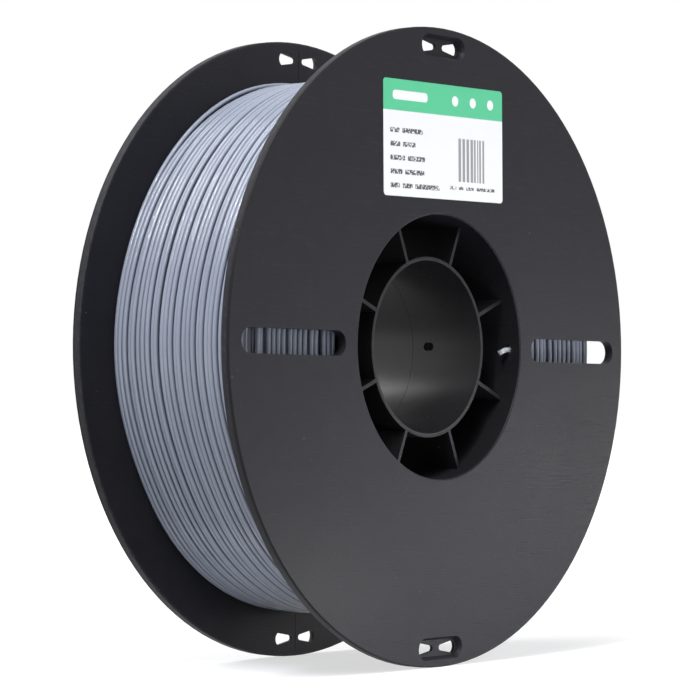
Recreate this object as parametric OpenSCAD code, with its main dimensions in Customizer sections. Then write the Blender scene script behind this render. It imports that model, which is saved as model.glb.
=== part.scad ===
// Spool for 3D printer filament, wound with a full reel of filament.
// Two halves meet face to face in the middle: each is one moulding with a flange,
// half of the drum, half of the bore tube and the ribs between. They are alike, but
// only the front one has sight slots.
// The spool stands on its rims with its axle along Y. The front flange faces -Y.

/* [Flanges] */
// Outside diameter of both flanges
flange_d = 200; // [190:1:230]
// Overall width over both flanges
spool_w = 63; // [58:1:76]
// Thickness of one flange
flange_t = 3; // [2.6:0.1:3.4]
// Radius of the rounding on the outer edge of the rim
rim_round = 0.5; // [0.3:0.1:0.9]
// Radius of the rounding on the inner edge of the rim
rim_round_in = 0.4; // [0.2:0.1:0.8]

/* [Hub] */
// Diameter of the open recess in the middle of a flange
hub_open_d = 82.8; // [72:0.2:88]
// Radius of the rounding on the edge of that recess
hub_edge_round = 0.5; // [0.2:0.1:0.8]
// Wall of the drum that the filament is wound on
drum_wall = 2; // [1.4:0.1:3]
// Diameter of the bore for the spindle
bore_d = 54.5; // [40:0.5:58]
// Wall of the bore tube
bore_wall = 1.15; // [1:0.05:2]
// Depth of the bore tube and the ribs below the flange face
hub_recess = 5.4; // [3:0.1:12]
// Number of ribs between the bore tube and the drum
rib_count = 8; // [4:2:12]
// Thickness of a rib
rib_t = 1.2; // [0.8:0.1:2]

/* [Lap joint of the two halves] */
// How far a tongue reaches past the middle
lap_len = 1.6; // [1:0.1:3]
// Gap round a tongue
lap_gap = 0.1; // [0.05:0.05:0.2]

/* [Sight slots of the front flange] */
// Width of a slot, which is also the diameter of its round ends
slot_w = 7.6; // [4:0.2:12]
// Land between the drum and a slot's inner end
slot_drum_land = 3.8; // [2:0.1:10]
// Land between a slot's outer end and the rim
slot_rim_land = 5.7; // [4:0.1:15]

/* [Parking windows for the loose end] */
// Length of the oblong pocket that a pair of windows sits in
pocket_len = 22; // [21.5:0.5:30]
// Height of the pocket
pocket_h = 7; // [6.8:0.1:9]
// Depth of the pocket
pocket_depth = 2; // [1:0.1:2.2]
// Slope of the pocket's wall, measured inwards over its depth
pocket_slope = 0.9; // [0.3:0.1:1.2]
// Land between the pocket and the rim
pocket_rim_land = 2.4; // [1.4:0.1:4]
// Distance from the middle of the pocket to the outer end of a window
window_reach = 9.6; // [8.6:0.1:9.8]
// Radius of that outer end
window_round = 2.3; // [2.3:0.1:4]
// Half of the web between the two windows
window_half_web = 1.6; // [1:0.1:3]
// Height of a window at its outer end
window_h_out = 4.4; // [3:0.1:4.6]
// Height of a window at its round inner end
window_h_in = 1.9; // [1:0.1:2.6]

/* [Witness line on the inner face of a flange] */
// Width of the line
witness_w = 0.6; // [0.4:0.1:1.2]
// Depth of the line
witness_depth = 0.1; // [0.1:0.05:0.4]

/* [Anchor holes for the inner end] */
// Diameter of the hole through the drum
anchor_d = 3; // [2.4:0.1:3.4]
// Distance of that hole from the inner face of the flange
anchor_depth = 1.9; // [1.9:0.1:8]
// Length of the oval hole through the bore tube
oval_len = 4; // [3:0.1:8]
// Height of the oval hole
oval_h = 2.6; // [2:0.1:4]
// Depth of the oval hole below the flange face
oval_depth = 26.7; // [12:0.1:26.8]
// Angle of the oval hole above the slots
oval_angle = 2; // [0:0.5:6]

/* [Filament] */
// Diameter of the filament
filament_d = 1.75; // [1.6:0.05:1.8]
// Diameter over the outermost turns
wound_d = 171.6; // [140:0.2:178]
// Gap between the winding and each flange
side_gap = 0.3; // [0.2:0.05:0.6]
// Gap between the winding and the drum
drum_gap = 0.1; // [0.05:0.05:0.3]
// Most turns that the outer layer has
most_turns = 24; // [12:1:24]
// Least distance from one turn to the next
least_pitch = 2.25; // [2.25:0.05:3.5]
// Gap between the outer turns and the layers below
layer_gap = 0.1; // [0.05:0.05:0.3]
// Bend radius where the outer layer dives between the turns below
dive_bend = 1.9; // [1.8:0.1:3]
// Gap round the filament in the hole that it dives into
dive_gap = 0.25; // [0.15:0.05:0.4]
// Angle round the spool at which the outer layer begins
first_angle = 300; // [200:5:340]
// Angle round the spool at which the outer layer ends
last_angle = 30; // [10:5:60]
// How far the inner end stands out of the drum before it bends
start_out = 0.6; // [0.4:0.1:3]
// Bend of the inner end inside the hub, in degrees
start_bend = 45; // [20:5:80]
// Centre-line radius of that bend
start_bend_r = 2; // [1.8:0.1:4]
// Straight length after the bend
start_tail = 1.75; // [1.75:0.05:4]

/* [Label] */
// Width of the label
label_w = 60.8; // [40:0.2:66]
// Height of the label
label_h = 36; // [20:0.5:38]
// Thickness of the label
label_t = 0.12; // [0.08:0.02:0.3]
// Radius of the label's corners
label_corner = 1.2; // [0.5:0.1:4]
// Offset of the label's middle to the right of the axle
label_x = 0.5; // [-3:0.1:3]
// Land between the drum and the label's lower edge
label_land = 2.9; // [1:0.1:6]
// Tilt of the label, as stuck on by hand
label_tilt = 1; // [-3:0.1:3]

/* [Hidden] */
$fn = 60;

CUT = 1;            // overshoot of a cutting solid
JOIN = 0.3;         // how far a rib runs into the walls at its ends
SMALL_FN = 16;      // sides of the circle behind a small rounding
TURN_RINGS = 24;    // rings of the tube in one turn
TUBE_SIDES = 6;     // sides of the tube's section
BEND_STEPS = 4;     // steps of a bend of the tube
START_SIDES = 12;   // sides of the short inner end's section

flange_r = flange_d / 2;
hub_open_r = hub_open_d / 2;
drum_r = hub_open_r + drum_wall;
bore_r = bore_d / 2;
tube_r = bore_r + bore_wall;
half_w = spool_w / 2;
inner_half_w = half_w - flange_t;
hub_top = half_w - hub_recess;

slot_in = drum_r + slot_drum_land;
slot_out = flange_r - slot_rim_land;
pocket_y = flange_r - pocket_rim_land - pocket_h / 2;

// The tube of the outer layer: the line of its middle runs at layer_r at each ring,
// and its flats between two rings lie lower by the rise of the arc.
filament_r = filament_d / 2;
layer_r = wound_d / 2 - filament_r;
flat_r = layer_r * cos(180 / TURN_RINGS) - filament_r;
core_in = drum_r + drum_gap;
core_out = flat_r - layer_gap;
core_half_w = inner_half_w - side_gap;
layer_half_w = core_half_w - filament_r;
dive_turn = atan(dive_bend / layer_r);
part_turn = (last_angle - first_angle + 360 - 2 * dive_turn) / 360;
whole_turns = min(most_turns - 1, floor(2 * layer_half_w / least_pitch - part_turn));
turns = whole_turns + part_turn;
pitch = 2 * layer_half_w / turns;
dive_r = layer_r - dive_bend;
floor_r = dive_r - filament_d;
dive_hole = filament_d + 2 * dive_gap;
anchor_z = inner_half_w - anchor_depth;

// ---------- Helpers ----------

// Turns a part that is drawn lying down, front flange up, on to its rims
module stood_up() {
    rotate([90, 0, 0]) children();
}

// A ring from radius r1 to radius r2 and from height z1 to height z2
module ring(r1, r2, z1, z2) {
    rotate_extrude() translate([r1, z1]) square([r2 - r1, z2 - z1]);
}

// The half of the children on the right (side = 1) or on the left (side = -1),
// starting at a distance from the middle
module one_side(side, from) {
    reach = 2 * flange_r;
    intersection() {
        children();
        translate([side > 0 ? from : -from - reach, -reach / 2, -reach / 2]) cube(reach);
    }
}

// An oblong with round ends, centred, along X
module oblong(len, h) {
    square([len - h, h], center = true);
    for (s = [-1, 1]) translate([s * (len - h) / 2, 0]) circle(d = h);
}

// ---------- The moulded halves ----------

// Section of the flange, from its inner edge to the rim
module flange_section() {
    translate([hub_open_r + hub_edge_round, inner_half_w])
        square([flange_r - rim_round - hub_open_r - hub_edge_round, flange_t]);
    translate([hub_open_r, inner_half_w]) square([drum_wall, flange_t - hub_edge_round]);
    translate([hub_open_r + hub_edge_round, half_w - hub_edge_round])
        circle(r = hub_edge_round, $fn = SMALL_FN);
    translate([flange_r - rim_round - CUT / 2, inner_half_w])
        square([CUT / 2 + rim_round - rim_round_in, flange_t - rim_round]);
    translate([flange_r - rim_round_in - CUT / 2, inner_half_w + rim_round_in])
        square([CUT / 2 + rim_round_in, flange_t - rim_round - rim_round_in]);
    translate([flange_r - rim_round, half_w - rim_round]) circle(r = rim_round, $fn = SMALL_FN);
    translate([flange_r - rim_round_in, inner_half_w + rim_round_in])
        circle(r = rim_round_in, $fn = SMALL_FN);
}

// A half tube from the middle plane up to z_top, with a tongue on its right half
// and a seat for the other half's tongue on its left half
module lapped_tube(r1, r2, z_top) {
    tongue = (r2 - r1 - lap_gap) / 2;
    difference() {
        union() {
            ring(r1, r2, 0, z_top);
            one_side(1, lap_gap) ring(r1, r1 + tongue, -lap_len, lap_gap);
        }
        one_side(-1, 0) ring(r1 - CUT, r1 + tongue + lap_gap, -CUT, lap_len + lap_gap);
    }
}

module ribs() {
    reach = hub_open_r - tube_r + 2 * JOIN;
    for (i = [0 : rib_count - 1])
        rotate([0, 0, (i + 0.5) * 360 / rib_count])
            translate([tube_r - JOIN, -rib_t / 2, 0]) cube([reach, rib_t, hub_top]);
}

// Cutter of a sight slot, on the right
module slot_cut() {
    translate([(slot_in + slot_out) / 2, 0, inner_half_w - CUT])
        linear_extrude(flange_t + 2 * CUT) oblong(slot_out - slot_in, slot_w);
}

// One of the two windows of a pair, on the right of the pocket's middle
module window_shape() {
    in_r = window_h_in / 2;
    in_x = window_half_web + in_r;
    out_x = window_reach - window_round;
    intersection() {
        union() {
            translate([out_x, 0]) circle(r = window_round);
            translate([0, -window_round]) square([out_x, 2 * window_round]);
        }
        union() {
            translate([in_x, 0]) circle(r = in_r);
            polygon([[in_x, -in_r], [window_reach, -window_h_out / 2],
                     [window_reach, window_h_out / 2], [in_x, in_r]]);
        }
    }
}

// Cutter of a pocket with sloping walls and of its pair of windows, at the top
module pocket_cut() {
    straight = pocket_len - pocket_h;
    floor_z = half_w - pocket_depth;
    top_r = pocket_h / 2;
    low_r = top_r - pocket_slope;
    rise = pocket_slope * CUT / pocket_depth;
    translate([0, pocket_y, 0]) {
        for (s = [-1, 1])
            translate([s * straight / 2, 0, floor_z])
                cylinder(h = pocket_depth + CUT, r1 = low_r, r2 = top_r + rise);
        translate([-straight / 2, 0, floor_z]) rotate([90, 0, 90]) linear_extrude(straight)
            polygon([[-low_r, 0], [low_r, 0], [top_r + rise, pocket_depth + CUT],
                     [-top_r - rise, pocket_depth + CUT]]);
        for (m = [0, 1])
            mirror([m, 0, 0]) translate([0, 0, inner_half_w - CUT])
                linear_extrude(flange_t + CUT) window_shape();
    }
}

// Cutter of the witness line, from the drum to the land below the rim
module witness_cut() {
    translate([-witness_w / 2, drum_r + CUT, inner_half_w - CUT])
        cube([witness_w, flange_r - pocket_rim_land - drum_r - CUT, CUT + witness_depth]);
}

module anchor_cut() {
    translate([hub_open_r - CUT, 0, anchor_z]) rotate([0, 90, 0])
        cylinder(h = drum_wall + 2 * CUT, d = anchor_d);
    rotate([0, 0, oval_angle]) translate([bore_r - CUT, 0, half_w - oval_depth])
        rotate([0, 90, 0]) linear_extrude(bore_wall + 2 * CUT) oblong(oval_len, oval_h);
}

// One moulding, drawn lying down with its flange up, with or without sight slots
module half_moulding(slots) {
    difference() {
        union() {
            rotate_extrude() flange_section();
            lapped_tube(hub_open_r, drum_r, inner_half_w + flange_t / 2);
            lapped_tube(bore_r, tube_r, hub_top);
            ribs();
        }
        for (a = [0, 180]) rotate([0, 0, a]) {
            if (slots) slot_cut();
            pocket_cut();
            witness_cut();
        }
        anchor_cut();
    }
}

module front_half() {
    color("#3a3a3d") stood_up() half_moulding(slots = true);
}

module rear_half() {
    color("#343437") stood_up() rotate([0, 180, 0]) half_moulding(slots = false);
}

// ---------- The filament ----------

// A point at an angle round the axle, a radius, a step along the turn and a height
function at(a, r, t, z) = [r * cos(a) - t * sin(a), r * sin(a) + t * cos(a), z];

// A ring of the tube: its middle, and the direction across the tube away from the axle
function ring_of(a, r, t, z, lean) = [at(a, r, t, z), at(a, cos(lean), -sin(lean), 0)];

// Where the outer layer comes up (dir = 1) or goes down (dir = -1): a straight stretch
// of one filament diameter, then a quarter bend into the turn
function dive_rings(a, z, dir) = concat(
    [ring_of(a, floor_r, 0, z, 90 * dir)],
    [for (i = [0 : BEND_STEPS - 1]) let (b = 90 * i / BEND_STEPS)
        ring_of(a, dive_r + dive_bend * sin(b), dir * dive_bend * (1 - cos(b)), z,
                dir * (90 - b))]);

function reversed(list) = [for (i = [len(list) - 1 : -1 : 0]) list[i]];

// The whole outer layer, from the front flange to the rear one
layer_steps = ceil(turns * TURN_RINGS);
layer_rings = concat(
    dive_rings(first_angle, layer_half_w, 1),
    [for (i = [0 : layer_steps]) let (s = i / layer_steps)
        ring_of(first_angle + dive_turn + s * turns * 360, layer_r, 0,
                layer_half_w - s * turns * pitch, 0)],
    reversed(dive_rings(last_angle, -layer_half_w, -1)));

// Points of a tube round its rings, each a middle and a direction across,
// where the third direction is the same all along
function tube_points(rings, side, r, sides) =
    [for (g = rings) for (k = [0 : sides - 1])
        g[0] + r * cos(k * 360 / sides) * g[1] + r * sin(k * 360 / sides) * side];

// Triangles of a closed tube of a number of rings
function tube_faces(count, sides) = concat(
    [for (i = [0 : count - 2]) for (k = [0 : sides - 1])
        let (a = i * sides + k, b = i * sides + (k + 1) % sides) [a, b, b + sides]],
    [for (i = [0 : count - 2]) for (k = [0 : sides - 1])
        let (a = i * sides + k, b = i * sides + (k + 1) % sides) [a, b + sides, a + sides]],
    [for (k = [1 : sides - 2]) [0, k + 1, k]],
    [for (k = [1 : sides - 2]) let (e = (count - 1) * sides) [e, e + k, e + k + 1]]);

// Least distance between two rings at least half a turn apart, less the filament
function least_gap(rings) =
    min([for (i = [0 : len(rings) - 1]) for (j = [i + TURN_RINGS / 2 : len(rings) - 1])
        norm(rings[i][0] - rings[j][0])]) - filament_d;

// Square hole, in the layers below, that the outer layer comes out of or dives into
module dive_cut(a, z) {
    rotate([0, 0, a]) translate([floor_r, -dive_hole / 2, z - dive_hole / 2])
        cube([core_out - floor_r + CUT, dive_hole, dive_hole]);
}

module filament_inner_layers() {
    color("#7d869c") stood_up() difference() {
        ring(core_in, core_out, -core_half_w, core_half_w);
        dive_cut(first_angle, layer_half_w);
        dive_cut(last_angle, -layer_half_w);
        translate([drum_r - CUT, -dive_hole / 2, anchor_z - dive_hole / 2])
            cube([core_in - drum_r + CUT + filament_d, dive_hole, dive_hole]);
    }
}

module filament_outer_turns() {
    echo(turns_of_outer_layer = turns, pitch = pitch, least_gap_mm = least_gap(layer_rings));
    color("#8c95ab") stood_up()
        polyhedron(tube_points(layer_rings, [0, 0, 1], filament_r, TUBE_SIDES),
                   tube_faces(len(layer_rings), TUBE_SIDES));
}

// Inner end of the filament: straight through the drum, then bent down and inwards
module filament_start() {
    to_hub = [-1, 0, 0];
    to_bend = [0, -sin(44), -cos(44)];
    from = [core_in + filament_d, 0, anchor_z];
    knee = [hub_open_r - start_out, 0, anchor_z];
    function heading(b) = cos(b) * to_hub + sin(b) * to_bend;
    function across(b) = sin(b) * to_hub - cos(b) * to_bend;
    function on_bend(b) = knee + start_bend_r * (sin(b) * to_hub + (1 - cos(b)) * to_bend);
    rings = concat([[from, across(0)]],
        [for (i = [0 : BEND_STEPS]) let (b = start_bend * i / BEND_STEPS) [on_bend(b), across(b)]],
        [[on_bend(start_bend) + start_tail * heading(start_bend), across(start_bend)]]);
    color("#9aa4ba") stood_up()
        polyhedron(tube_points(rings, cross(to_hub, to_bend), filament_r, START_SIDES),
                   tube_faces(len(rings), START_SIDES));
}

// ---------- The label ----------

module label() {
    middle_y = drum_r + label_land + label_h / 2;
    color("white") stood_up() translate([label_x, middle_y, half_w]) rotate([0, 0, label_tilt])
        linear_extrude(label_t) {
            square([label_w, label_h - 2 * label_corner], center = true);
            square([label_w - 2 * label_corner, label_h], center = true);
            for (x = [-1, 1]) for (y = [-1, 1])
                translate([x * (label_w / 2 - label_corner), y * (label_h / 2 - label_corner)])
                    circle(r = label_corner, $fn = SMALL_FN);
        }
}

front_half();
rear_half();
filament_inner_layers();
filament_outer_turns();
filament_start();
label();
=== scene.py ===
# %% [markdown]
# # A full spool of 3D printer filament
# The spool is two black mouldings with one long plastic strand wound between them and a paper
# label on the front. The mouldings and the label come as finished solids, so this lesson only
# gives them their surfaces. The strand is modelled here, turn by turn, because its uneven lay is
# what makes a real spool look real.

# %% Load the frame and keep its box
from math import atan2, cos, hypot, pi, radians, sin, sqrt, tau

import bmesh
import bpy
import numpy as np
from mathutils import Matrix, Vector


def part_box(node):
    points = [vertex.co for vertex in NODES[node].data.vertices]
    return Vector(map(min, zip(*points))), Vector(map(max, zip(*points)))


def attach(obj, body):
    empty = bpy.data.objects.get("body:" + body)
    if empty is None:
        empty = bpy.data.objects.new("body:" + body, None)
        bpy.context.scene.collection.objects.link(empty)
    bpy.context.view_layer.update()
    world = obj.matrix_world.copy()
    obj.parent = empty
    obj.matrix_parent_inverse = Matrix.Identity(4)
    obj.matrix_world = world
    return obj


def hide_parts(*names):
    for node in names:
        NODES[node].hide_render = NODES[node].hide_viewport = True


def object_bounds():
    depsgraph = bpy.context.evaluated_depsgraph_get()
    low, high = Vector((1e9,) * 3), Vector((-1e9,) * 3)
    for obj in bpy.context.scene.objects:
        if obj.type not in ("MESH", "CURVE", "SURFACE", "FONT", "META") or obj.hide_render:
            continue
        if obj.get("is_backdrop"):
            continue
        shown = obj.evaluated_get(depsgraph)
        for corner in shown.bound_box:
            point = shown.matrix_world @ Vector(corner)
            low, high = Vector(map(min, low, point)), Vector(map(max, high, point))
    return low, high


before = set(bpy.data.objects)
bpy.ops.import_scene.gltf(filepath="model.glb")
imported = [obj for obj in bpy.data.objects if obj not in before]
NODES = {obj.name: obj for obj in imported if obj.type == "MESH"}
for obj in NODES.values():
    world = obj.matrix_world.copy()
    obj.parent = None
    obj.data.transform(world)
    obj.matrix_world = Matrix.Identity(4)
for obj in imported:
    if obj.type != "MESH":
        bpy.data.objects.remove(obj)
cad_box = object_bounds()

MM = 0.001
print("solids:", sorted(NODES))


# %% Measure the solids
def reach(node):
    """Least and greatest distance of a solid's points from the axle, which is the Y axis."""
    spans = [hypot(v.co.x, v.co.z) for v in NODES[node].data.vertices]
    return min(spans), max(spans)


BORE_R, FLANGE_R = reach("front_half")
DRUM_R = reach("filament_inner_layers")[0]
WOUND_R = reach("filament_outer_turns")[1]
FACE_Y = -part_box("front_half")[0].y
WOUND_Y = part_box("filament_inner_layers")[1].y
LABEL_LOW, LABEL_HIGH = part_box("label")
print("radius of flange, drum and winding in mm:",
      [round(r / MM, 2) for r in (FLANGE_R, DRUM_R, WOUND_R)])

# %% [markdown]
# ## Camera
# A long lens far from the spool keeps both flanges nearly the same size, as a product shot does.
# A Track To constraint could aim the camera, but it would always hold it level, and this one is
# rolled by a third of a degree. So its three axes are worked out here: back, which points away
# from what it looks at, right and up.

# %% Camera
LOOKS_AT = Vector((-8.43, 0, -0.05)) * MM
AZIMUTH, ELEVATION, ROLL = radians(-50.41), radians(-1.34), radians(0.333)
CAMERA_FAR = 0.8946
LENS = 145.8


def place_camera():
    back = Vector((sin(AZIMUTH) * cos(ELEVATION), -cos(AZIMUTH) * cos(ELEVATION), sin(ELEVATION)))
    right = Vector((cos(AZIMUTH), sin(AZIMUTH), 0))
    up = back.cross(right)
    turned_right = cos(ROLL) * right + sin(ROLL) * up
    turned_up = cos(ROLL) * up - sin(ROLL) * right
    lens = bpy.data.cameras.new("camera")
    lens.lens, lens.sensor_width = LENS, 36
    lens.clip_start, lens.clip_end = 0.01, 50
    camera = bpy.data.objects.new("camera", lens)
    axes = Matrix((turned_right, turned_up, back)).transposed().to_4x4()
    camera.matrix_world = Matrix.Translation(LOOKS_AT + CAMERA_FAR * back) @ axes
    bpy.context.scene.collection.objects.link(camera)
    return camera


bpy.context.scene.camera = place_camera()
bpy.context.scene.view_settings.view_transform = "Standard"
print("camera at", [round(c, 3) for c in bpy.context.scene.camera.location])

# %% [markdown]
# ## Shader maths that reads like maths
# A surface pattern is a formula: noise times something, minus something, clamped. Wiring Math
# nodes by hand hides the formula, so one small class wraps a node's output and lets Python's own
# operators add the nodes. Every other node comes from one method, which sets the node's options
# first and its sockets after.


# %% A wire between nodes
class Wire:
    """A node's output in a material. Its operators add Math nodes."""

    def __init__(self, tree, socket=None):
        self.tree, self.socket = tree, socket

    def node(self, kind, settings=None, sockets=None, output=0):
        """Adds a node: its settings first, then the values or wires of its sockets."""
        made = self.tree.nodes.new(kind)
        for name, value in (settings or {}).items():
            setattr(made, name, value)
        for name, value in (sockets or {}).items():
            if isinstance(value, Wire):
                self.tree.links.new(value.socket, made.inputs[name])
            else:
                made.inputs[name].default_value = value
        return Wire(self.tree, made.outputs[output] if made.outputs else None)

    def math(self, operation, *values, clamp=False):
        settings = {"operation": operation, "use_clamp": clamp}
        return self.node("ShaderNodeMath", settings, dict(enumerate(values)))

    def __add__(self, other):
        return self.math("ADD", self, other)

    def __sub__(self, other):
        return self.math("SUBTRACT", self, other)

    def __rsub__(self, other):
        return self.math("SUBTRACT", other, self)

    def __mul__(self, other):
        return self.math("MULTIPLY", self, other)

    def __truediv__(self, other):
        return self.math("DIVIDE", self, other)

    def __pow__(self, other):
        return self.math("POWER", self, other)

    def __abs__(self):
        return self.math("ABSOLUTE", self)

    __radd__, __rmul__ = __add__, __mul__

    def at_least(self, other):
        return self.math("MAXIMUM", self, other)

    def clamped(self):
        return self.math("ADD", self, 0, clamp=True)


print("a wire's own words:", [name for name in vars(Wire) if not name.startswith("_")])

# %% [markdown]
# A few words that the finishes below share: where a point is, which way its surface faces, noise
# of a certain grain, a soft step from nothing to all, and a mix of two colours. Places are in
# millimetres in every pattern, so a noise scale of 3 means three grains to the millimetre.


# %% Where a point is and which way it faces
def parts_of(vector):
    """The X, Y and Z of a vector, as three wires."""
    return [vector.node("ShaderNodeSeparateXYZ", None, {0: vector}, output=i) for i in range(3)]


def place_in_mm(start):
    here = start.node("ShaderNodeTexCoord", output="Object")
    return start.node("ShaderNodeVectorMath", {"operation": "SCALE"}, {0: here, "Scale": 1 / MM})


def facing(start):
    """The X, Y and Z of the direction that the surface faces."""
    return parts_of(start.node("ShaderNodeNewGeometry", output="Normal"))


def across_axle(x, z):
    """A point's distance from the axle."""
    return (x * x + z * z) ** 0.5


print("one unit of a pattern is", MM, "m")


# %% Noise, steps and mixes
def stretched(vector, by):
    return vector.node("ShaderNodeVectorMath", {"operation": "MULTIPLY"}, {0: vector, 1: by})


def noise(vector, scale, detail, w=None):
    """Noise of about 0.2 to 0.8. A wire as w is a fourth direction in which it changes."""
    settings = {"noise_dimensions": "3D" if w is None else "4D"}
    sockets = {"Vector": vector, "Scale": scale, "Detail": detail}
    if w is not None:
        sockets["W"] = w
    return vector.node("ShaderNodeTexNoise", settings, sockets)


def soft_step(wire, low, high):
    """0 below low, 1 above high, smooth between. With low above high it runs the other way."""
    sockets = {"Value": wire, "From Min": low, "From Max": high}
    return wire.node("ShaderNodeMapRange", {"interpolation_type": "SMOOTHSTEP"}, sockets)


def mixed(factor, first, second):
    """first where the factor is 0 and second where it is 1; both are colours or wires."""
    colours = {0: factor, 6: first, 7: second}
    return factor.node("ShaderNodeMix", {"data_type": "RGBA"}, colours, output=2)


def paint(*rgb):
    """A colour in the 0 to 255 of a paint program, as the linear colour that a shader needs."""
    linear = [((c / 255 + 0.055) / 1.055) ** 2.4 if c > 10 else c / 255 / 12.92 for c in rgb]
    return linear + [1]


print("middle grey in a shader:", round(paint(128, 128, 128)[0], 3))


# %% Start and end of a finish
def new_finish(name):
    """An empty material, and a wire that has its tree."""
    material = bpy.data.materials.new(name)
    material.use_nodes = True
    material.node_tree.nodes.clear()
    return material, Wire(material.node_tree)


def finish_with(start, bump_height, bump_depth, **sockets):
    """Ends a material with a Principled shader. bump_depth is in millimetres."""
    inputs = {name.replace("_", " "): value for name, value in sockets.items()}
    relief = {"Height": bump_height, "Distance": bump_depth * MM, "Strength": 1.0}
    inputs["Normal"] = start.node("ShaderNodeBump", None, relief)
    shader = start.node("ShaderNodeBsdfPrincipled", None, inputs)
    start.node("ShaderNodeOutputMaterial", None, {"Surface": shader})


def dress(node, material):
    """Gives a solid its finish and leaves its shape alone."""
    NODES[node].data.materials.clear()
    NODES[node].data.materials.append(material)
    print(f"{node} is finished with {material.name}")


# %% [markdown]
# ## The moulded plastic
# The halves are injection moulded in black polystyrene. The mould's flat faces are spark-eroded,
# which leaves a fine satin grain, while the core pin that forms the bore is turned and polished,
# so the bore is smoother. The bore is also darker, as painted shade, and the walls deep in the hub
# are the blackest, as painted shade in the recess. Handling leaves faint sideways scratches, a few
# pale specks of dust, and scuffs on the rim that the spool rolls on, whose rounded edges are
# darkened as painted shade. All of this could be painted on an unwrapped map, but it follows from
# a point's place: its distance from the axle says whether it is on the rim, the flange, the hub or
# the bore. So every mark is a mask worked out from the place.

# %% Colours of the plastic
CHARCOAL = paint(29, 29, 34)
GREYER_CHARCOAL = paint(35, 35, 40)
WORN_CHARCOAL = paint(56, 56, 59)
# painted shade for the walls deep in the hub
HUB_SHADE_CHARCOAL = paint(14, 14, 15)
# painted shade on the rim's rounded edges and in the bore, and the tone of the scratches
POLISH_AND_SHADE_CHARCOAL = paint(22, 22, 24)
DUST = paint(150, 150, 152)
HUB_HOLE_R = DRUM_R / MM - 1.9
print("hub is what lies within", round(HUB_HOLE_R, 2), "mm of the axle")


# %% Moulded plastic
def moulded_plastic(name):
    material, start = new_finish(name)
    place = place_in_mm(start)
    x, y, z = parts_of(place)
    from_axle = across_axle(x, z)
    on_flat = soft_step(abs(facing(start)[1]), 0.4, 0.6)
    # the bore is smoother and glossier, and its colour also gets painted shade
    polished_and_shaded = soft_step(from_axle, BORE_R / MM + 0.5, BORE_R / MM + 0.2)
    # painted shade: the hub's deep walls are darkened, as the shade in the recess
    painted_hub_shade = soft_step(from_axle, HUB_HOLE_R, HUB_HOLE_R - 0.3) * (1 - on_flat) * (1 - polished_and_shaded)
    on_rim = soft_step(from_axle, FLANGE_R / MM - 1.1, FLANGE_R / MM - 0.2)
    # painted shade: the rim's rounded edges are darkened
    painted_edge_shade = soft_step(abs(y), FACE_Y / MM - 1.3, FACE_Y / MM - 0.5) * on_rim

    grain = noise(place, 2.6, 3)
    mottle = noise(place, 0.16, 3)
    clouds = noise(place, 0.035, 3)
    scratches = soft_step(noise(stretched(place, (0.09, 1, 2.4)), 1, 2), 0.65, 0.72)
    specks = soft_step(noise(place, 0.85, 1), 0.8, 0.84)
    scuffs = soft_step(noise(stretched(place, (1, 3, 1)), 0.5, 4), 0.46, 0.62)

    shade = mixed((clouds + mottle + grain - 1).clamped(), CHARCOAL, GREYER_CHARCOAL)
    shade = mixed((scuffs * 0.4 + 0.3) * on_rim, shade, WORN_CHARCOAL)
    # painted shade on the rim's edges, in the bore and on the hub's deep walls
    shade = mixed(painted_edge_shade * 0.8, shade, POLISH_AND_SHADE_CHARCOAL)
    shade = mixed(polished_and_shaded, shade, POLISH_AND_SHADE_CHARCOAL)
    shade = mixed(painted_hub_shade * 0.8, shade, HUB_SHADE_CHARCOAL)
    shade = mixed(scratches * 0.3, shade, POLISH_AND_SHADE_CHARCOAL)
    shade = mixed(specks * 0.35, shade, DUST)
    roughness = 0.46 + (grain - 0.5) * 0.18 + (clouds - 0.5) * 0.1 - scratches * 0.14
    relief = grain * (1 - polished_and_shaded * 0.85) - scratches * 0.7 + specks * 0.6
    finish_with(start, relief, 0.055, Base_Color=shade, Roughness=roughness - polished_and_shaded * 0.1,
                Specular_IOR_Level=0.11, Coat_Weight=polished_and_shaded * 0.06, Coat_Roughness=0.22)
    return material


for half in ("front_half", "rear_half"):
    dress(half, moulded_plastic(half + "_plastic"))

# %% [markdown]
# ## The label
# A printed sticker: a white coated paper with a green band across the top. A spool's label tells
# what is wound on it, but this one is unnamed. Its words are bars, broken into strokes that mean
# nothing, its code is a block of plain stripes and its marks are dots. Each piece of print could
# be a thin mesh of its own, but ink has no thickness, so it is drawn by the material. All of it
# is one shape repeated, a rounded bar whose edge fades over a tenth of a millimetre, as ink does
# on paper.

# %% Where the print sits on the label
LABEL_MIDDLE = (LABEL_LOW + LABEL_HIGH) / 2 / MM
LABEL_TILT = radians(1)
LABEL_H = 36.0
BAND_H = 9.7
INK_EDGE = 0.09
GREEN = paint(87, 200, 150)
PAPER = paint(247, 248, 250)
GREYER_PAPER = paint(242, 243, 246)
INK = paint(52, 54, 60)
print("middle of the label in mm:", [round(c, 2) for c in LABEL_MIDDLE])


# %% One bar and many
def bar(u, v, middle, size, corner):
    """1 inside a bar with rounded corners and 0 outside, on the label's own axes in mm."""
    over_u = (abs(u - middle[0]) - (size[0] / 2 - corner)).at_least(0)
    over_v = (abs(v - middle[1]) - (size[1] / 2 - corner)).at_least(0)
    outside = (over_u * over_u + over_v * over_v) ** 0.5 - corner
    return (0.5 - outside / INK_EDGE).clamped()


def all_of(marks):
    """One mask that is 1 wherever any of the marks is."""
    joined = marks[0]
    for mark in marks[1:]:
        joined = joined.at_least(mark)
    return joined


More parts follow.
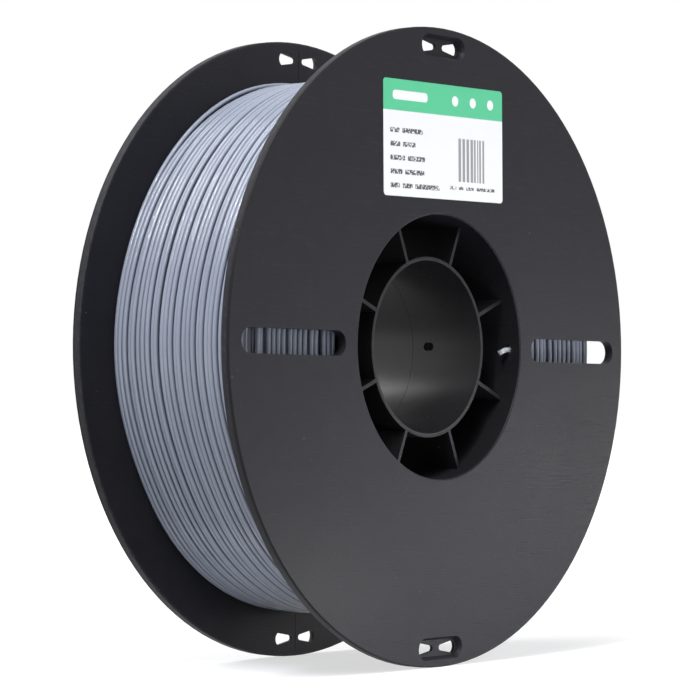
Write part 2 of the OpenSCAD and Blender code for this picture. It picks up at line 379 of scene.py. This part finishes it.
# %% Title, dots, rows of words and a caption, in mm from the label's middle
BAND_V = (LABEL_H - BAND_H) / 2
TITLE_U, TITLE_SIZE = -17.2, (17.4, 2.9)
DOTS_U, DOT_SIZE = (5.6, 14.8, 24.0), (3.2, 3.2)
ROW_TOP, ROW_STEP, ROW_LEFT, ROW_H = 2.3, 4.25, -27.2, 1.5
ROW_WORDS = [(4.6, 10.3), (4.9, 6.3), (7.3, 8.6), (5.9, 9.6), (4.6, 5.0, 12.4)]
CAPTION_LEFT, CAPTION_V, CAPTION_H = 2.6, -14.2, 1.0
CAPTION_WORDS = (3.4, 2.4, 4.3, 9.6)
WORD_GAP = 1.3


def row_of_bars(u, v, left, middle_v, height, words):
    bars = []
    for length in words:
        bars.append(bar(u, v, (left + length / 2, middle_v), (length, height), height * 0.3))
        left += length + WORD_GAP
    return bars


def printed_words(u, v):
    marks = []
    for i, words in enumerate(ROW_WORDS):
        marks += row_of_bars(u, v, ROW_LEFT, ROW_TOP - i * ROW_STEP, ROW_H, words)
    return marks + row_of_bars(u, v, CAPTION_LEFT, CAPTION_V, CAPTION_H, CAPTION_WORDS)


print(sum(len(words) for words in ROW_WORDS), "words in", len(ROW_WORDS), "rows")

# %% A block of stripes
CODE_LEFT, CODE_RIGHT, CODE_LOW, CODE_HIGH = 7.2, 21.3, -12.1, 1.5
STRIPE_WIDTHS, STRIPE_GAPS = [0.55, 0.9, 1.3], [0.5, 0.8]


def stripes(u, v, seed=4):
    """Upright stripes of uneven width, from one side of the block to the other."""
    chance = np.random.default_rng(seed)
    height = CODE_HIGH - CODE_LOW
    marks, left = [], CODE_LEFT
    while left < CODE_RIGHT - 0.5:
        width = float(chance.choice(STRIPE_WIDTHS))
        middle = (left + width / 2, (CODE_LOW + CODE_HIGH) / 2)
        marks.append(bar(u, v, middle, (width, height), 0.02))
        left += width + float(chance.choice(STRIPE_GAPS))
    print(len(marks), "stripes")
    return marks


# %% The label's paper and print
def printed_label(name):
    material, start = new_finish(name)
    place = place_in_mm(start)
    x, _, z = parts_of(place)
    across, upward = x - LABEL_MIDDLE.x, z - LABEL_MIDDLE.z
    u = across * cos(LABEL_TILT) + upward * sin(LABEL_TILT)
    v = upward * cos(LABEL_TILT) - across * sin(LABEL_TILT)

    band = soft_step(v, LABEL_H / 2 - BAND_H, LABEL_H / 2 - BAND_H + INK_EDGE)
    title = [bar(u, v, (TITLE_U, BAND_V), TITLE_SIZE, 1.2)]
    dots = [bar(u, v, (at, BAND_V), DOT_SIZE, 1.55) for at in DOTS_U]
    strokes = soft_step(noise(stretched(place, (1.9, 1, 1.3)), 1, 1), 0.37, 0.49)

    fibres = noise(place, 5, 4)
    waves = noise(place, 0.12, 2)
    colour = mixed(fibres, PAPER, GREYER_PAPER)
    colour = mixed(band, colour, GREEN)
    colour = mixed(all_of(title + dots) * band, colour, PAPER)
    colour = mixed(all_of(printed_words(u, v)) * strokes * 0.95, colour, INK)
    colour = mixed(all_of(stripes(u, v)) * 0.95, colour, INK)
    finish_with(start, waves * 4 + fibres * 0.12, 0.05, Base_Color=colour,
                Roughness=0.36 + (fibres - 0.5) * 0.12, Specular_IOR_Level=0.4)
    return material


dress("label", printed_label("label_print"))

# %% [markdown]
# ## The filament
# The strand is extruded plastic, 1.75 mm thick, and winds some 800 times round the drum. It could
# be a screw thread or a bump on a cylinder, but neither has turns that part, sink and cross over.
# Only its outermost turns and the turns beside the front flange can be seen, so those are
# modelled as one real tube, and the layers underneath are a lathe-turned core.
#
# The strand is fed from side to side while the drum turns, so most turns lie against their
# neighbours, and the room that is left over gathers in a few gaps. A gap opens and closes again
# within a turn or so, and where one closes another opens, since the flanges keep the whole width
# the same. A turn follows the one before it and steps over to its own place within a third of a
# turn. So each angle round the drum gets the same slack, shared out between the turns by smooth
# noise that favours a few of them. Now and then a turn sinks between the ones below. The tube is
# drawn a few hundredths of a millimetre thinner, so that turns that step over don't cut into
# their neighbours.

# %% Noise along the strand
STRAND = 1.75 * MM
STRAND_R = STRAND / 2 - 0.03 * MM
TOUCHING = 1.002 * STRAND


def unevenness(chance, turn, slow, fast, waves=7):
    """Smooth noise of about -1 to 1, from waves of slow to fast cycles a turn."""
    total = np.zeros_like(turn)
    for rate in np.linspace(slow, fast, waves):
        total += np.sin(tau * (rate * turn + chance.random()))
    return total / sqrt(waves / 2) / 1.6


def bump(at, middle, width):
    """A smooth bump of height 1."""
    return np.exp(-(((at - middle) / width) ** 2))


def smooth(at):
    """0 up to 0, 1 from 1 on, and a smooth step between."""
    at = np.clip(at, 0, 1)
    return at * at * (3 - 2 * at)


print("half of the thickness drawn in mm:", round(STRAND_R / MM, 3))

# %% Lay a layer
STEP_FROM, STEP_TO = 0.62, 0.98
SMOOTHINGS = 12


def shared_slack(chance, turn, turns, per_turn, slack, gathered, favoured):
    """How much of the slack each ring has to one side of it, the same sum at every angle."""
    favour = gathered * unevenness(chance, turn, 0.3, 1.5) + favoured
    ends = np.clip(2 * turn, 0, 1) * np.clip(2 * (turns - turn), 0, 1)
    share = (np.exp(favour) * ends)[:-1].reshape(turns, per_turn)
    taken = slack * np.cumsum(share / share.sum(axis=0), axis=0)
    return np.append(taken.ravel(), taken[-1, -1])


def lay(turns, width, per_turn, gathered, shallow, deep, seed, favoured=0):
    """The middle of the strand in a layer: its place across and its depth, at each ring."""
    chance = np.random.default_rng(seed)
    turn = np.linspace(0, turns, turns * per_turn + 1)
    slack = width - turns * TOUCHING
    slack = shared_slack(chance, turn, turns, per_turn, slack, gathered, favoured)
    stepped = np.floor(turn) + smooth((turn % 1 - STEP_FROM) / (STEP_TO - STEP_FROM))
    across = stepped * TOUCHING + slack
    sunk = unevenness(chance, turn, 0.2, 1.4)
    sunk = np.clip(0.12 + 0.15 * sunk + smooth(sunk - 0.3), 0, 1)
    depth = shallow + (deep - shallow) * sunk
    for line in (across, depth):
        for _ in range(SMOOTHINGS):
            line[1:-1] += 0.25 * (line[2:] + line[:-2] - 2 * line[1:-1])
    apart = np.hypot(across[per_turn:] - across[:-per_turn], depth[per_turn:] - depth[:-per_turn])
    print(f"{turns} turns, least distance of neighbours {apart.min() / MM:.2f} mm")
    return turn, across, depth


# %% [markdown]
# ## The path of the strand
# The strand starts inside the hub, where its cut end sticks out of the anchor hole. It climbs the
# front flange in a flat spiral of 14 turns, one to two millimetres off it. They stand for the
# ends of the hidden layers, of which about every second one reaches out that far. It crosses to
# the rear in the second layer, comes back in the top layer and is tucked under its own last
# turns. Each stretch is a list of points, and the joints between them are blended over a part of
# a turn.

# %% Sizes of the winding
FLAT_Y = WOUND_Y - STRAND_R
TOP_R = WOUND_R - STRAND_R
SINK = 0.85 * MM
SECOND_R = TOP_R - SINK - STRAND
FIRST_R = DRUM_R + 3.45 * MM
FLAT_SHALLOW, FLAT_SINK, SECOND_SINK = 0.9 * MM, 2.0 * MM, 0.3 * MM
TOP_TURNS, SECOND_TURNS, FLAT_TURNS = 30, 30, 14
TOP_RINGS, SECOND_RINGS, FLAT_RINGS = 120, 60, 80
SHORT_JOINT, LONG_JOINT = 0.2, 0.3
# Each lump's middle round the axle in turns, its height in mm and its width in turns.
LUMPS = ((0.3, 0.7, 0.07), (0.5, 0.5, 0.036), (0.55, 0.5, 0.13), (0.58, -0.75, 0.036),
         (0.67, 0.1, 0.04))
LUMPS_RISE_FROM = 0.3 * MM


def out_of_round(angle):
    """How far the winding stands out of round, since the layers below cross in some places."""
    place = angle % 1
    lumps = sum(height * MM * bump(place, middle, width) for middle, height, width in LUMPS)
    return lumps - LUMPS_RISE_FROM


def points_at(angle, radius, y):
    """Points from their angles round the axle, in turns, their radii and their places along it."""
    return np.stack([radius * np.cos(tau * angle), y, radius * np.sin(tau * angle)], axis=1)


def eased(values, first, turn, over):
    """The values, starting from first and reaching their own over a part of a turn."""
    return values + (first - values) * (1 - smooth(turn / over))


print("radius of the top and second layer in mm:", round(TOP_R / MM, 2), round(SECOND_R / MM, 2))

# %% The cut end in the hub
KNEE_R = DRUM_R - 2.7 * MM
BEND_R, BEND, BENT_ASIDE = 2 * MM, radians(45), radians(44)
TAIL = 1.75 * MM
TURN_R = 2.4 * MM


def cut_end():
    """From the cut end in the hub, round a bend and straight out through the anchor hole."""
    anchor_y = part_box("filament_start")[0].y + STRAND_R
    knee = np.array([KNEE_R, anchor_y, 0])
    outward, upward = np.array([1.0, 0, 0]), np.array([0, 0, 1])
    aside = np.array([0, cos(BENT_ASIDE), -sin(BENT_ASIDE)])
    angles = np.linspace(BEND, 0, 9)[:, None]
    on_bend = knee + BEND_R * (-np.sin(angles) * outward + (1 - np.cos(angles)) * aside)
    tip = on_bend[0] + TAIL * (-cos(BEND) * outward + sin(BEND) * aside)
    last = np.array([FIRST_R - TURN_R, anchor_y, 0])
    quarter = np.linspace(0, pi / 2, 8)[:, None]
    to_turn = last + TURN_R * (np.sin(quarter) * outward + (1 - np.cos(quarter)) * upward)
    return np.concatenate([[tip], on_bend, to_turn])


print("cut end starts at", np.round(cut_end()[0] / MM, 1), "mm")


# %% The flat spiral and the second layer
def flat_spiral(angle, first_r, first_y):
    """Up the front flange. Also gives the place along the axle where it ends."""
    turn, rise, depth = lay(FLAT_TURNS, SECOND_R - first_r, FLAT_RINGS, gathered=0.8,
                            shallow=FLAT_SHALLOW, deep=FLAT_SINK, seed=11)
    y = eased(depth - FLAT_Y, first_y, turn, SHORT_JOINT)
    return points_at(angle + turn, first_r + rise, y), y[-1]


def second_layer(angle, first_y):
    """From the front flange to the rear one. Also gives the radius at which it ends."""
    turn, across, depth = lay(SECOND_TURNS, 2 * FLAT_Y, SECOND_RINGS, gathered=0.5,
                              shallow=0, deep=SECOND_SINK, seed=12)
    radius = SECOND_R - depth + out_of_round(angle + turn)
    points = points_at(angle + turn, eased(radius, SECOND_R, turn, LONG_JOINT),
                       eased(across - FLAT_Y, first_y, turn, LONG_JOINT))
    return points, radius[-1]


# %% [markdown]
# The top layer is the one that is seen most, so it gets a few listed features: a turn that rides
# up at the rear flange with a gap beside it, a parting in the middle, small gaps low on the left,
# and last turns that lie deep at the front flange.

# %% The top layer and the tucked end
# How strongly each feature acts, and its middle and width in turns.
PARTING = (2.5, 10.5, 0.3)
REAR_GAP = (4, 1.3, 0.3)
LEFT_GAPS = (2, 7, 5)
LOW_ON_LEFT = (1, 0.63, 0.14)
RIDDEN_UP = (0.9 * MM, 0.31, 0.09)
LAST_TURNS_DEEP = 1.5
TUCKED_IN, TUCKED_ASIDE, TUCK_LENGTH = 1.6 * MM, 1.1 * MM, 0.05


def acting(feature, at):
    strength, middle, width = feature
    return strength * bump(at, middle, width)


def top_layer(angle, first_r):
    """Back from the rear flange to the front one, with the last turn's end tucked in."""
    turn = np.linspace(0, TOP_TURNS, TOP_TURNS * TOP_RINGS + 1)
    left_gaps = acting(LEFT_GAPS, turn) * acting(LOW_ON_LEFT, (turn + angle) % 1)
    favoured = left_gaps + acting(PARTING, turn) + acting(REAR_GAP, turn + angle % 1)
    turn, across, depth = lay(TOP_TURNS, 2 * FLAT_Y, TOP_RINGS, gathered=2.0,
                              shallow=0, deep=SINK, seed=13, favoured=favoured)
    depth = np.maximum(depth, SINK * smooth(turn - TOP_TURNS + LAST_TURNS_DEEP))
    radius = TOP_R - depth + acting(RIDDEN_UP, turn + angle % 1) + out_of_round(angle + turn)
    radius = eased(radius, first_r, turn, SHORT_JOINT)
    tuck = np.linspace(0, 1, 9)[1:]
    in_deep = radius[-1] - TUCKED_IN * smooth(tuck)
    tucked = points_at(angle + TOP_TURNS + TUCK_LENGTH * tuck, in_deep,
                       FLAT_Y - across[-1] + TUCKED_ASIDE * smooth(tuck))
    return np.concatenate([points_at(angle + turn, radius, FLAT_Y - across), tucked])


# %% The whole path
def strand_path():
    start = cut_end()
    last = start[-1]
    angle = atan2(last[2], last[0]) / tau
    flat, last_y = flat_spiral(angle, hypot(last[0], last[2]), last[1])
    second, last_r = second_layer(angle + FLAT_TURNS, last_y)
    top = top_layer(angle + FLAT_TURNS + SECOND_TURNS, last_r)
    return np.concatenate([start, flat[1:], second[1:], top[1:]])


path = strand_path()
length = np.linalg.norm(np.diff(path, axis=0), axis=1).sum()
print(f"{len(path)} points, {length:.1f} m of strand modelled")

# %% [markdown]
# ## From a path to a tube
# A tube is a ring of points at every point of its path. A curve with a bevel would give one too,
# but a mesh made here keeps the number of faces in hand and gets a map of its own. Each ring is
# the one before it, turned by as much as the path turns and no more, so the tube never twists.
# The map lays the turns out in rows, one under the other, which keeps the finish sharp when the
# model is exported.

# %% Rings along a path
UV_NAME = "OFBake"
ROW_MARGIN = 0.12
SPOT_OF_ENDS = (0.001, 0.001)


def rings_along(path, radius, sides):
    """A ring of points round each point of a path, without twist."""
    ways = np.gradient(path, axis=0)
    ways /= np.linalg.norm(ways, axis=1)[:, None]
    across = np.cross(ways[0], (0, 0, 1.0))
    across /= np.linalg.norm(across)
    rings, corners = [], tau * np.arange(sides)[:, None] / sides
    for middle, way in zip(path, ways):
        across = across - way * (across @ way)
        across /= sqrt(across @ across)
        other = np.cross(way, across)
        rings.append(middle + radius * (np.cos(corners) * across + np.sin(corners) * other))
    return np.concatenate(rings)


def strip_map(rows, columns, row_length):
    """Each face's four spots on the map: row_length faces to a strip, the strips stacked."""
    strips = (rows - 2) // row_length + 1
    i, k = np.divmod(np.arange((rows - 1) * columns), columns)
    strip, place = np.divmod(i, row_length)
    high = (strip + ROW_MARGIN + (1 - 2 * ROW_MARGIN) * k / columns) / strips
    step = (1 - 2 * ROW_MARGIN) / columns / strips
    left, right = place / row_length, (place + 1) / row_length
    u = np.stack([left, left, right, right], axis=1)
    v = np.stack([high, high + step, high + step, high], axis=1)
    return np.stack([u, v], axis=2).reshape(-1, 2)


# %% Mesh and piece
def mapped_grid(name, points, rows, columns, row_length, ends):
    """A mesh of rows of points, each row closed on itself, with the rows' map in strips."""
    at = np.arange(rows - 1)[:, None] * columns
    here, there = np.arange(columns), (np.arange(columns) + 1) % columns
    quads = np.stack([at + here, at + there, at + columns + there, at + columns + here], axis=2)
    faces = quads.reshape(-1, 4).tolist()
    spots = strip_map(rows, columns, row_length)
    if ends:
        faces.append(list(range(columns))[::-1])
        faces.append(list(range((rows - 1) * columns, rows * columns)))
        spots = np.concatenate([spots, np.tile(SPOT_OF_ENDS, (2 * columns, 1))])
    mesh = bpy.data.meshes.new(name)
    mesh.from_pydata(points.tolist(), [], faces)
    mesh.uv_layers.new(name=UV_NAME).uv.foreach_set("vector", spots.astype(np.float32).ravel())
    mesh.shade_smooth()
    return mesh


def piece(name, mesh, material, replaces):
    """Puts a mesh in the scene as a piece of filament that stands for some solids."""
    made = bpy.data.objects.new(name, mesh)
    bpy.context.scene.collection.objects.link(made)
    mesh.materials.append(material)
    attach(made, "root")
    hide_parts(*replaces)
    print(f"{name}: {len(mesh.polygons)} faces")


# %% [markdown]
# ## The finish of the filament
# The strand leaves a smooth brass nozzle, so it has a soft gloss. Its blue grey varies a little
# from turn to turn, as the pigment does along hundreds of metres, and very fine lines run along
# it. Noise that is stretched far along the turns and hardly across them gives both. Where the
# surface faces its neighbour instead of outwards, and on the turns beside the front flange, the
# colour is darkened as painted shade. The cut end is painted paler, as painted light on it.

# %% Colours of the filament, and where shade and light are painted
BLUE_GREY = paint(119, 126, 142)
PALER_BLUE_GREY = paint(142, 149, 165)
# painted shade in the grooves and on the turns beside the front flange
PAINTED_SHADE_GREY = paint(52, 57, 70)
FIBRE_DUST = paint(205, 208, 214)
# painted light on the cut end
PAINTED_LIGHT_GREY = paint(165, 168, 173)
WOUND_R_MM, DRUM_R_MM = WOUND_R / MM, DRUM_R / MM
# where the painted shade on the turns beside the front flange begins
FLANGE_SHADE_R, FLANGE_SHADE_Y = 83, 2 - WOUND_Y / MM
print("blue grey in a shader:", [round(c, 3) for c in BLUE_GREY[:3]])


# %% Filament
def filament_finish(name):
    material, start = new_finish(name)
    place = place_in_mm(start)
    x, y, z = parts_of(place)
    from_axle = across_axle(x, z)
    by_turn = noise(stretched(place, (0.02, 0.55, 0.02)), 1, 1, from_axle * 0.4)
    lines = noise(stretched(place, (0.05, 6, 0.05)), 1, 2, from_axle * 6)
    dust = soft_step(noise(place, 1.3, 1), 0.78, 0.84)
    # painted light: the cut end in the hub is painted paler
    painted_light_on_cut_end = soft_step(from_axle, DRUM_R_MM - 1.5, DRUM_R_MM - 3)

    facing_x, facing_y, facing_z = facing(start)
    outwards = (facing_x * x + facing_z * z) / from_axle
    on_side = soft_step(from_axle, WOUND_R_MM - 2.2, WOUND_R_MM - 2.6)
    # painted shade in the grooves between turns
    painted_groove_shade = soft_step(outwards.at_least(abs(facing_y) * on_side), 0.65, 0.2)
    # painted shade on the turns beside the front flange
    painted_flange_shade = soft_step(y, FLANGE_SHADE_Y + 0.6, FLANGE_SHADE_Y) * soft_step(from_axle, FLANGE_SHADE_R, FLANGE_SHADE_R + 0.5)

    shade = mixed(by_turn, BLUE_GREY, PALER_BLUE_GREY)
    shade = mixed(dust * 0.25, shade, FIBRE_DUST)
    # painted light on the cut end
    shade = mixed(painted_light_on_cut_end, shade, PAINTED_LIGHT_GREY)
    # painted shade in the grooves and beside the front flange
    shade = mixed((painted_groove_shade * 0.42).at_least(painted_flange_shade * 0.8), shade, PAINTED_SHADE_GREY)
    roughness = 0.11 + (lines - 0.5) * 0.09 + (by_turn - 0.5) * 0.05
    finish_with(start, lines * 0.5 + dust * 0.5, 0.02, Base_Color=shade, Roughness=roughness,
                Specular_IOR_Level=0.5)
    return material


filament = filament_finish("filament_blue_grey")

# %% The strand
STRAND_SIDES = 12
rings = rings_along(path, STRAND_R, STRAND_SIDES)
mesh = mapped_grid("strand", rings, len(path), STRAND_SIDES, TOP_RINGS, True)
piece("strand", mesh, filament, ["filament_outer_turns", "filament_start"])

# %% [markdown]
# ## The layers underneath
# They show only as dark lines between the turns, so hundreds of turns would be wasted on them.
# They are one lathe form: a ring whose two sides have a half-round rib for each layer, turned
# round the axle. Its front side stands back from the flange by as much as the flat spiral needs,
# and it ends a little lower than the second layer.

# %% Profile of the layers
LAYER_H = 1.95 * MM
CORE_LOWER = 1.2 * MM
CORE_SEGMENTS = 96
RIB_PLACES = (0.0, 0.25, 0.5, 0.75)


def ribbed_side(y, way):
    """Points from the drum outwards, in half circles that stand out by way times the radius."""
    last_r = SECOND_R - STRAND_R - CORE_LOWER
    count = int((last_r - DRUM_R) / LAYER_H)
    width = (last_r - DRUM_R) / count
    points = []
    for i in range(count):
        for turned in RIB_PLACES:
            r = DRUM_R + width * (i + 0.5 - 0.5 * cos(pi * turned))
            points.append((r, y + way * STRAND_R * sin(pi * turned)))
    return points + [(last_r, y)]


front_y, rear_y = -(FLAT_Y - FLAT_SINK - 2 * STRAND_R), WOUND_Y
profile = ribbed_side(rear_y - STRAND_R, 1) + ribbed_side(front_y + STRAND_R, -1)[::-1]
print(len(profile), "points in the profile")


# %% Turn the profile round the axle
def lathe(profile, segments):
    """The profile, a closed line of (radius, y), at each angle round the axle."""
    angle = tau * np.arange(segments + 1)[:, None] / segments
    r, y = np.array(profile).T
    y = np.broadcast_to(y, (len(angle), len(y)))
    return np.stack([r * np.cos(angle), y, r * np.sin(angle)], axis=2)


def seam_closed(mesh):
    """Joins the first and the last profile, and turns every face outwards."""
    form = bmesh.new()
    form.from_mesh(mesh)
    bmesh.ops.remove_doubles(form, verts=form.verts, dist=1e-7)
    bmesh.ops.recalc_face_normals(form, faces=form.faces)
    form.to_mesh(mesh)
    form.free()
    return mesh


points = lathe(profile, CORE_SEGMENTS).reshape(-1, 3)
mesh = mapped_grid("inner_layers", points, CORE_SEGMENTS + 1, len(profile), CORE_SEGMENTS, False)
piece("inner_layers", seam_closed(mesh), filament, ["filament_inner_layers"])

# %% [markdown]
# ## Floor and background
# A product shot stands on white paper that curves up behind it. Here one flat floor does both,
# since its glow can be set apart from the light it gives: what is seen directly, in a reflection
# or through glass is white, and everything else meets a plain pale floor. Near the spool the glow
# is weaker, so that the soft shadow shows, and further off it rises to full white. The world
# round it works the same way: white where it is seen, and a dim even light everywhere else.

# %% Floor
GLOW_NEAR, GLOW_FAR = (0.62, 0.62, 0.62, 1), (1, 1, 1, 1)
NEAR, FAR = 300, 1100
FLOOR_REACH = 12


def seen_by_eye(start):
    """1 for what the camera sees, also in a reflection or through glass, and 0 for light."""
    rays = [start.node("ShaderNodeLightPath", output="Is " + kind + " Ray")
            for kind in ("Camera", "Glossy", "Transmission")]
    return rays[0].at_least(rays[1]).at_least(rays[2])


def floor_finish():
    material, start = new_finish("floor_white")
    place = place_in_mm(start)
    x, y, _ = parts_of(place)
    far = soft_step((x * x + y * y) ** 0.5, NEAR, FAR)
    grain = noise(place, 0.4, 2)
    shade = mixed(grain, paint(170, 171, 173), paint(176, 177, 179))
    glow = mixed(seen_by_eye(start), (0, 0, 0, 1), mixed(far, GLOW_NEAR, GLOW_FAR))
    finish_with(start, grain, 0.02, Base_Color=shade, Roughness=0.75, Specular_IOR_Level=0.2,
                Emission_Color=glow, Emission_Strength=1.0)
    return material


def make_floor():
    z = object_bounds()[0].z
    signs = ((-1, -1), (1, -1), (1, 1), (-1, 1))
    corners = [(x * FLOOR_REACH, y * FLOOR_REACH, z) for x, y in signs]
    mesh = bpy.data.meshes.new("floor")
    mesh.from_pydata(corners, [], [(0, 1, 2, 3)])
    mesh.materials.append(floor_finish())
    floor = bpy.data.objects.new("floor", mesh)
    bpy.context.scene.collection.objects.link(floor)
    floor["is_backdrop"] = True
    return z


print("floor at z =", round(make_floor() / MM, 2), "mm")

# %% World
WORLD_LIGHT = (0.17, 0.172, 0.175, 1)


def make_world():
    world = bpy.data.worlds.new("studio")
    world.use_nodes = True
    world.node_tree.nodes.clear()
    start = Wire(world.node_tree)
    colour = mixed(seen_by_eye(start), WORLD_LIGHT, (1, 1, 1, 1))
    light = start.node("ShaderNodeBackground", None, {"Color": colour, "Strength": 1.0})
    start.node("ShaderNodeOutputWorld", None, {"Surface": light})
    bpy.context.scene.world = world


make_world()
print("the world lights with", WORLD_LIGHT[:3])

# %% [markdown]
# ## Light
# Black plastic and a glossy strand show the shapes of the lamps, so all of them are soft boxes.
# They could be suns, but a sun has no size that could be mirrored. A long strip overhead lights
# the winding on the side where it shows, and a narrower, brighter one beside it draws the bright
# lines on its upper turns. A box behind reaches the inside of the rear flange, and one at the
# front lifts the label and the face. Two low ones, one on the right and one close in front, lift
# the face's lower half. Two small ones behind the hub shine into the bore. A weak one just above
# the floor stands for a white card, which throws a little light back on the lowest turns.

# %% Lamps
# Each lamp's place, what it is aimed at, its size in metres and its watts.
SOFTBOXES = {
    "overhead_strip": ((-0.48, -0.3, 0.97), (0, 0, 0), (0.2, 1.3), 10.2),
    "highlight_strip": ((-0.64, -0.25, 0.84), (0, 0, 0), (0.04, 0.5), 8),
    "back_softbox": ((-0.43, 0.47, 0.96), (0, 0, 0), (0.5, 0.8), 5),
    "bore_lamp": ((-0.06, 0.1, 0.01), (0.02, 0.01, -0.005), (0.08, 0.08), 0.055),
    "upper_bore_lamp": ((-0.02, 0.085, 0.052), (0.02, 0.015, -0.015), (0.03, 0.03), 0.045),
    "bounce_card": ((-0.064, 0, -0.096), (-0.03, 0, -0.07), (0.04, 0.03), 0.0028),
    "front_softbox": ((0.4, -1.1, 0.6), (0, 0, 0), (0.7, 0.7), 3.6),
    "low_right_softbox": ((0.35, -0.23, -0.08), (0, -0.03, -0.07), (0.14, 0.14), 0.52),
    "low_front_softbox": ((0.02, -0.12, -0.088), (0.02, -0.03, -0.088), (0.03, 0.03), 0.085),
}


def softbox(name, place, aimed_at, size, power):
    """A lamp whose light leaves a rectangle, its size in metres across and upwards."""
    lamp = bpy.data.lights.new(name, "AREA")
    lamp.shape, lamp.energy = "RECTANGLE", power
    lamp.size, lamp.size_y = size
    held = bpy.data.objects.new(name, lamp)
    held.location = place
    held.rotation_euler = (Vector(aimed_at) - Vector(place)).to_track_quat("-Z", "Y").to_euler()
    held.visible_camera = False
    bpy.context.scene.collection.objects.link(held)
    print(f"{name}: {power} W from {place}")


for name, settings in SOFTBOXES.items():
    softbox(name, *settings)

# %% Sizes and finish
boxes = {"cad": [list(corner) for corner in cad_box], "visual": [list(corner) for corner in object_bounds()]}
for name, box in boxes.items():
    print(name, "box in mm:", [[round(c / MM, 2) for c in corner] for corner in box])
